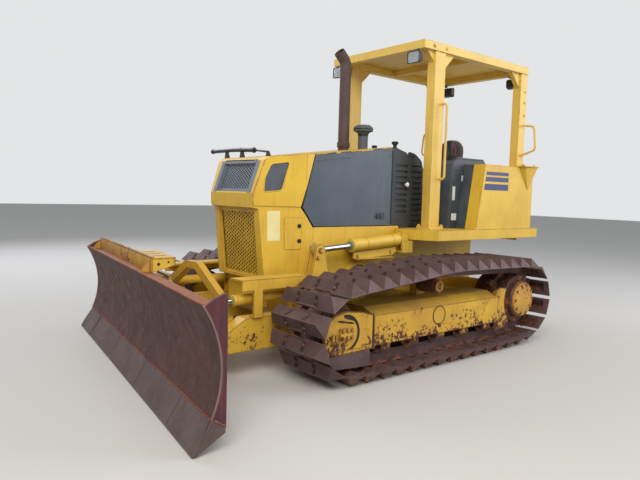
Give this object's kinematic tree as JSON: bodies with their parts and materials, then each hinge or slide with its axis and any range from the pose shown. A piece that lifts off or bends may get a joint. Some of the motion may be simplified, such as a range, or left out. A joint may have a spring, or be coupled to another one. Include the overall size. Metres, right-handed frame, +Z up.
{
  "type": "tracked bulldozer with angling blade and canopy",
  "caption": "Low-ground-pressure bulldozer on steel tracks, with an open canopy and a C-frame blade that lifts, angles and tilts.",
  "frame": {"origin": "on the ground, on the machine's centre plane, halfway along the whole machine", "axes": "+X forward to the blade, +Y to the machine's left, +Z up"},
  "size_m": [4.3715, 3.2393, 2.713],
  "materials": {
    "yellow_paint": "worn gloss",
    "grey_paint": "satin",
    "black_paint": "satin",
    "worn_steel": "worn and rusty",
    "scorched_steel": "heat-scaled",
    "rod_chrome": "polished",
    "dark_plastic": "matte",
    "cast_iron": "rough",
    "seat_cloth": "woven"
  },
  "bodies": {
    "chassis": {"main_frame": "yellow_paint", "drawbar": "yellow_paint", "engine_block": "cast_iron", "nose_shell": "yellow_paint", "hood_top": "yellow_paint", "lower_grille": "yellow_paint", "upper_grille": "grey_paint", "exhaust_stack": "scorched_steel", "pre_cleaner": "dark_plastic", "dash_cowl": "dark_plastic", "platform": "yellow_paint", "rear_fenders": "yellow_paint", "consoles": "dark_plastic", "fuel_tank": "yellow_paint", "seat_base": "black_paint", "seat_cushion": "seat_cloth", "seat_back": "seat_cloth", "control_levers": "dark_plastic", "canopy": "yellow_paint", "work_lamps": "black_paint", "handrails": "yellow_paint", "track_left": "worn_steel", "track_right": "worn_steel", "track_frame_left": "yellow_paint", "track_frame_right": "yellow_paint", "track_rollers": "worn_steel", "idlers": "worn_steel", "sprockets": "worn_steel"},
    "engine_door_left": {"engine_door_left": "grey_paint"},
    "engine_door_right": {"engine_door_right": "grey_paint"},
    "c_frame": {"c_frame": "yellow_paint"},
    "yoke": {"blade_yoke": "yellow_paint"},
    "blade": {"blade": "worn_steel", "cutting_edge": "worn_steel"},
    "tilt_barrel": {"tilt_barrel": "yellow_paint"},
    "tilt_rod": {"tilt_rod": "rod_chrome"},
    "lift_barrel_left": {"lift_barrel_left": "yellow_paint"},
    "lift_barrel_right": {"lift_barrel_right": "yellow_paint"},
    "lift_rod_left": {"lift_rod_left": "rod_chrome"},
    "lift_rod_right": {"lift_rod_right": "rod_chrome"},
    "angle_barrel_left": {"angle_barrel_left": "yellow_paint"},
    "angle_barrel_right": {"angle_barrel_right": "yellow_paint"},
    "angle_rod_left": {"angle_rod_left": "rod_chrome"},
    "angle_rod_right": {"angle_rod_right": "rod_chrome"}
  },
  "joints": [
    {"name": "blade_lift", "type": "hinge", "parent": "chassis", "child": "c_frame", "pos_m": [-0.25, 0, 0.43], "axis": [0, -1, 0], "range_deg": [-10, 23]},
    {"name": "blade_angle", "type": "hinge", "parent": "c_frame", "child": "yoke", "pos_m": [1.666, 0, 0.33], "axis": [0, 0, 1], "range_deg": [-16.2, 33.8]},
    {"name": "blade_tilt", "type": "hinge", "parent": "yoke", "child": "blade", "pos_m": [1.666, 0, 0.33], "axis": [0.9882, -0.153, 0], "range_deg": [-6, 6]},
    {"name": "lift_barrel_left_swing", "type": "hinge", "parent": "chassis", "child": "lift_barrel_left", "pos_m": [-0.381, 0.565, 0.956], "axis": [0, -1, 0], "range_deg": [-9.2, 20.8]},
    {"name": "lift_rod_left_slide", "type": "slide", "parent": "lift_barrel_left", "child": "lift_rod_left", "axis": [0.998, 0, -0.0631], "range_m": [-0.208, 0.092]},
    {"name": "lift_barrel_right_swing", "type": "hinge", "parent": "chassis", "child": "lift_barrel_right", "pos_m": [-0.381, -0.565, 0.956], "axis": [0, -1, 0], "range_deg": [-9.2, 20.8]},
    {"name": "lift_rod_right_slide", "type": "slide", "parent": "lift_barrel_right", "child": "lift_rod_right", "axis": [0.998, 0, -0.0631], "range_m": [-0.208, 0.092]},
    {"name": "angle_barrel_left_swing", "type": "hinge", "parent": "c_frame", "child": "angle_barrel_left", "pos_m": [0.74, 0.48, 0.56], "axis": [0, 0, 1], "range_deg": [-1.3, 2.5]},
    {"name": "angle_rod_left_slide", "type": "slide", "parent": "angle_barrel_left", "child": "angle_rod_left", "axis": [0.9939, 0.1103, 0], "range_m": [-0.333, 0.161]},
    {"name": "angle_barrel_right_swing", "type": "hinge", "parent": "c_frame", "child": "angle_barrel_right", "pos_m": [0.74, -0.48, 0.56], "axis": [0, 0, 1], "range_deg": [-1.4, 2.8]},
    {"name": "angle_rod_right_slide", "type": "slide", "parent": "angle_barrel_right", "child": "angle_rod_right", "axis": [0.991, -0.1342, 0], "range_m": [-0.17, 0.352]},
    {"name": "tilt_barrel_swing", "type": "hinge", "parent": "yoke", "child": "tilt_barrel", "pos_m": [1.60136, -0.18226, 0.66], "axis": [0.9882, -0.153, 0], "range_deg": [-3.6, 3.6]},
    {"name": "tilt_rod_slide", "type": "slide", "parent": "tilt_barrel", "child": "tilt_rod", "axis": [0.153, 0.9882, 0], "range_m": [-0.036, 0.036]},
    {"name": "engine_door_left_hinge", "type": "hinge", "parent": "chassis", "child": "engine_door_left", "pos_m": [0, 0.4112, 1.71265], "axis": [0.9921, 0, -0.1253], "range_deg": [0, 100]},
    {"name": "engine_door_right_hinge", "type": "hinge", "parent": "chassis", "child": "engine_door_right", "pos_m": [0, -0.4112, 1.71265], "axis": [-0.9921, 0, 0.1253], "range_deg": [0, 100]}
  ],
  "couplings": [
    {"joint": "lift_barrel_left_swing", "follows": "blade_lift", "ratio": 0.8845},
    {"joint": "lift_rod_left_slide", "follows": "blade_lift", "m_per_rad": -0.5115},
    {"joint": "lift_barrel_right_swing", "follows": "blade_lift", "ratio": 0.8845},
    {"joint": "lift_rod_right_slide", "follows": "blade_lift", "m_per_rad": -0.5115},
    {"joint": "angle_barrel_left_swing", "follows": "blade_angle", "ratio": 0.07},
    {"joint": "angle_rod_left_slide", "follows": "blade_angle", "m_per_rad": -0.5594},
    {"joint": "angle_barrel_right_swing", "follows": "blade_angle", "ratio": 0.0784},
    {"joint": "angle_rod_right_slide", "follows": "blade_angle", "m_per_rad": 0.5928},
    {"joint": "tilt_barrel_swing", "follows": "blade_tilt", "ratio": 0.5464},
    {"joint": "tilt_rod_slide", "follows": "blade_tilt", "m_per_rad": -0.33}
  ]
}
